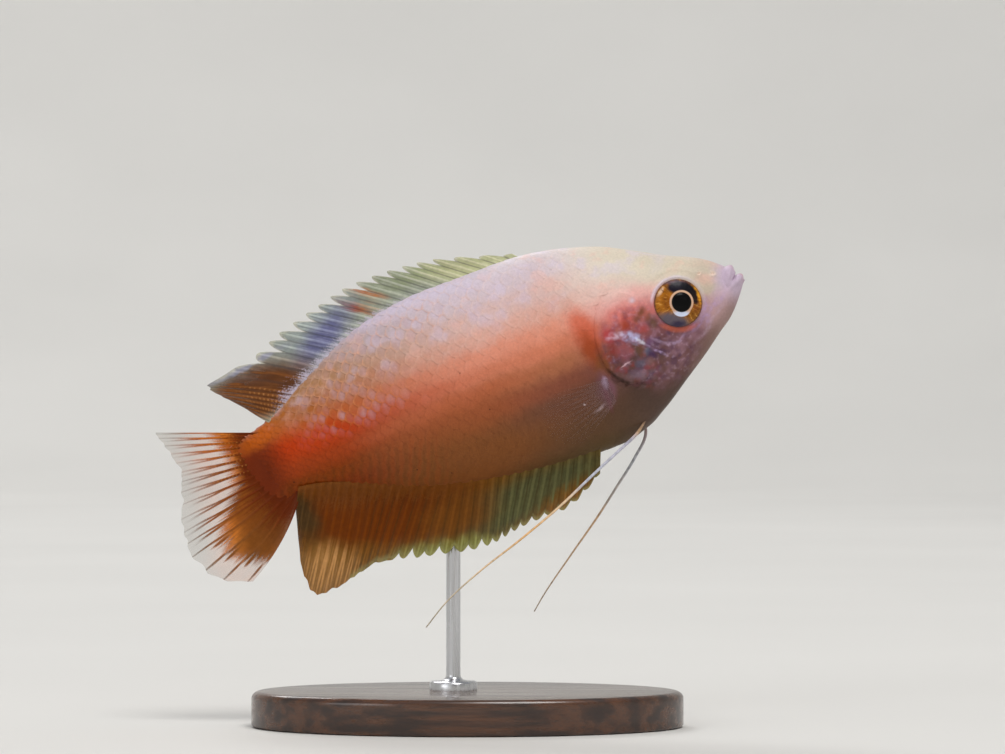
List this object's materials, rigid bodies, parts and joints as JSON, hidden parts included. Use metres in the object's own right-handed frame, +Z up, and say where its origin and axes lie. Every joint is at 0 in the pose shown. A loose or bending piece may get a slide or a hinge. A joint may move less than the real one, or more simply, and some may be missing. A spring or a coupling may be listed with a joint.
{
  "type": "honey gourami display model",
  "caption": "Life-size still model of a honey gourami swimming nose up, with ridged fins and thread-like feelers, on an oval base with one rod.",
  "frame": {"origin": "centre of the underside of the stand's base, on the floor", "axes": "+X towards the fish's head, +Y to its left, +Z up"},
  "size_m": [0.0492, 0.022, 0.04],
  "materials": {
    "skin": "moist satin, pearl to salmon",
    "eye": "wet gloss",
    "fin": "translucent satin",
    "feeler": "satin",
    "base": "dark satin lacquer",
    "rod": "satin"
  },
  "bodies": {
    "root": {"head": "skin", "torso": "skin", "tail_stalk": "skin", "gill_cover_left": "skin", "gill_cover_right": "skin", "eye_left": "eye", "eye_right": "eye", "dorsal_fin": "fin", "anal_fin": "fin", "caudal_fin": "fin", "pectoral_fin_left": "fin", "pectoral_fin_right": "fin", "pelvic_feeler_left": "feeler", "pelvic_feeler_right": "feeler", "stand_base": "base", "stand_rod": "rod"}
  },
  "joints": []
}
